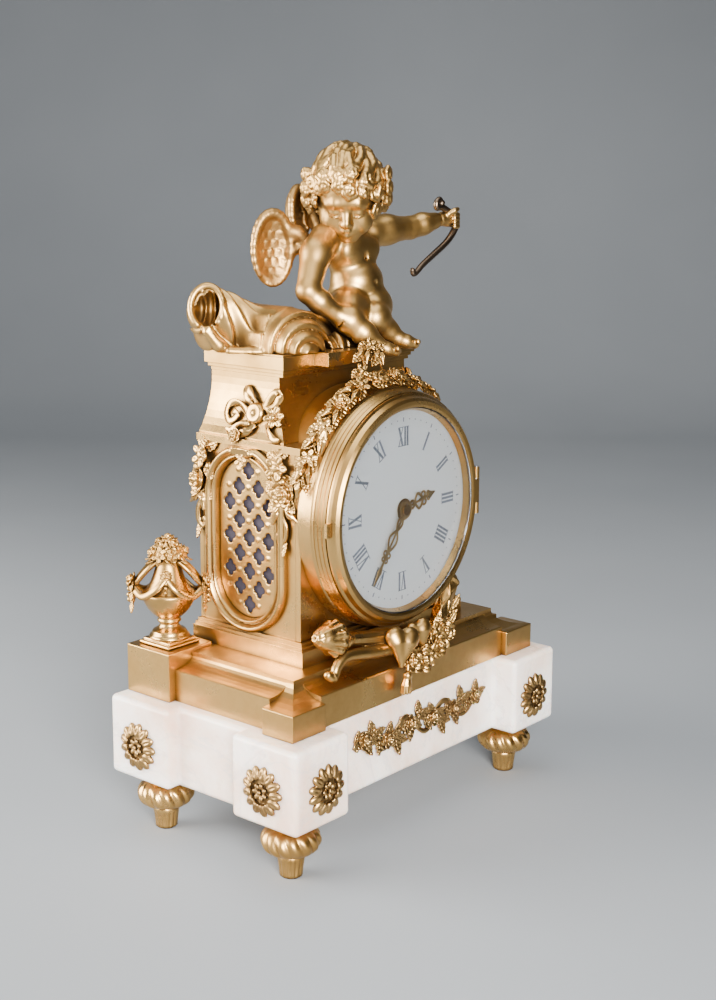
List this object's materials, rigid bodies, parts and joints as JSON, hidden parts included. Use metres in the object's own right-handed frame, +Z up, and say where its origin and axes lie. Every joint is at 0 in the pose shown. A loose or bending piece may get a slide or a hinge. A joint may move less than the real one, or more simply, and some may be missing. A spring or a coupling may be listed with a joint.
{
  "type": "mantel clock",
  "caption": "Gilt-bronze and marble mantel clock: drum dial in a fretted case with a seated cupid, urns, opening bezel and rear door, and a geared movement.",
  "frame": {"origin": "middle of the footprint, on the surface that the feet stand on", "axes": "+Z up, the dial faces -Y, +X is the viewer's right hand"},
  "size_m": [0.1864, 0.11, 0.292],
  "materials": {
    "gilt_bronze": "matte fire-gilt with burnished edges",
    "dark_bronze": "darkened bronze",
    "brass": "polished",
    "steel": "bright",
    "white_marble": "polished",
    "enamel": "gloss",
    "glass": "clear",
    "silk": "woven silk"
  },
  "bodies": {
    "case": {"marble_base": "white_marble", "foot_front_left": "gilt_bronze", "foot_front_right": "gilt_bronze", "foot_rear_left": "gilt_bronze", "foot_rear_right": "gilt_bronze", "threaded_rods": "steel", "marble_rosettes": "dark_bronze", "frieze_mount": "gilt_bronze", "gilt_plinth": "gilt_bronze", "plinth_corner_blocks": "gilt_bronze", "urn_left": "gilt_bronze", "urn_right": "gilt_bronze", "case_socle": "gilt_bronze", "case_front": "gilt_bronze", "case_back": "gilt_bronze", "case_side_left": "gilt_bronze", "case_side_right": "gilt_bronze", "side_frame_left": "gilt_bronze", "side_frame_right": "gilt_bronze", "fret_left": "gilt_bronze", "fret_right": "gilt_bronze", "silk_panels": "silk", "case_neck": "gilt_bronze", "cornice": "gilt_bronze", "ribbon_bows": "gilt_bronze", "drum_shell": "gilt_bronze", "dial": "enamel", "hinge_pins": "steel", "movement_straps": "brass", "strap_screws": "steel", "movement_front_plate": "brass", "movement_rear_plate": "brass", "balance_cock": "brass", "cupid": "gilt_bronze", "cupid_wings": "gilt_bronze", "cupid_bow": "dark_bronze", "drapery": "gilt_bronze", "garland": "gilt_bronze", "trophy_torch": "gilt_bronze", "trophy_hearts": "gilt_bronze", "trophy_flowers": "gilt_bronze"},
    "bezel_door": {"front_bezel": "gilt_bronze", "bezel_glass": "glass"},
    "rear_door": {"back_door": "brass"},
    "minute_arbor": {"centre_wheel": "brass", "cannon_pinion": "steel", "minute_hand": "gilt_bronze", "hand_nut": "gilt_bronze"},
    "hour_pipe": {"hour_wheel": "brass", "hour_hand": "gilt_bronze"},
    "minute_wheel": {"minute_wheel": "brass"},
    "barrel": {"barrel": "brass"},
    "winding_arbor": {"winding_arbor": "steel"},
    "intermediate_arbor": {"intermediate_wheel": "brass"},
    "third_arbor": {"third_wheel": "brass"},
    "fourth_arbor": {"fourth_wheel": "brass"},
    "escape_arbor": {"escape_wheel": "steel"},
    "balance": {"balance_wheel": "brass"},
    "click": {"ratchet_click": "steel"}
  },
  "joints": [
    {"name": "bezel_hinge", "type": "hinge", "parent": "case", "child": "bezel_door", "pos_m": [0.0524, -0.0337, 0.1378], "axis": [0, 0, 1], "range_deg": [0, 110]},
    {"name": "back_door_hinge", "type": "hinge", "parent": "case", "child": "rear_door", "pos_m": [0.0446, 0.0399, 0.1328], "axis": [0, 0, -1], "range_deg": [0, 110]},
    {"name": "minute_turn", "type": "hinge", "parent": "case", "child": "minute_arbor", "pos_m": [0, -0.01, 0.1378], "axis": [0, 1, 0], "continuous": true},
    {"name": "hour_turn", "type": "hinge", "parent": "case", "child": "hour_pipe", "pos_m": [0, -0.03, 0.1378], "axis": [0, 1, 0], "continuous": true},
    {"name": "minute_wheel_turn", "type": "hinge", "parent": "case", "child": "minute_wheel", "pos_m": [-0.00902, -0.026, 0.13452], "axis": [0, 1, 0], "continuous": true},
    {"name": "barrel_turn", "type": "hinge", "parent": "case", "child": "barrel", "pos_m": [-0.01237, -0.01, 0.12543], "axis": [0, 1, 0], "continuous": true},
    {"name": "intermediate_turn", "type": "hinge", "parent": "case", "child": "intermediate_arbor", "pos_m": [0.0048, -0.01, 0.12346], "axis": [0, 1, 0], "continuous": true},
    {"name": "third_turn", "type": "hinge", "parent": "case", "child": "third_arbor", "pos_m": [-0.00523, -0.01, 0.15218], "axis": [0, 1, 0], "continuous": true},
    {"name": "fourth_turn", "type": "hinge", "parent": "case", "child": "fourth_arbor", "pos_m": [0.00675, -0.01, 0.15654], "axis": [0, 1, 0], "continuous": true},
    {"name": "escape_turn", "type": "hinge", "parent": "case", "child": "escape_arbor", "pos_m": [0.01805, -0.01, 0.15351], "axis": [0, 1, 0], "continuous": true},
    {"name": "winding_turn", "type": "hinge", "parent": "case", "child": "winding_arbor", "pos_m": [-0.01237, -0.01, 0.12543], "axis": [0, 1, 0], "continuous": true},
    {"name": "balance_swing", "type": "hinge", "parent": "case", "child": "balance", "pos_m": [0.0228, -0.001, 0.14952], "axis": [0, 1, 0], "range_deg": [-135, 135]},
    {"name": "click_lift", "type": "hinge", "parent": "case", "child": "click", "pos_m": [-0.01997, -0.0011, 0.12203], "axis": [0, -1, 0], "range_deg": [0, 12]}
  ],
  "couplings": [
    {"joint": "hour_turn", "follows": "minute_turn", "ratio": 0.083333},
    {"joint": "minute_wheel_turn", "follows": "minute_turn", "ratio": -0.33333},
    {"joint": "third_turn", "follows": "minute_turn", "ratio": -8},
    {"joint": "fourth_turn", "follows": "minute_turn", "ratio": 60},
    {"joint": "escape_turn", "follows": "minute_turn", "ratio": -480},
    {"joint": "intermediate_turn", "follows": "minute_turn", "ratio": -0.16667},
    {"joint": "barrel_turn", "follows": "minute_turn", "ratio": 0.02381}
  ]
}
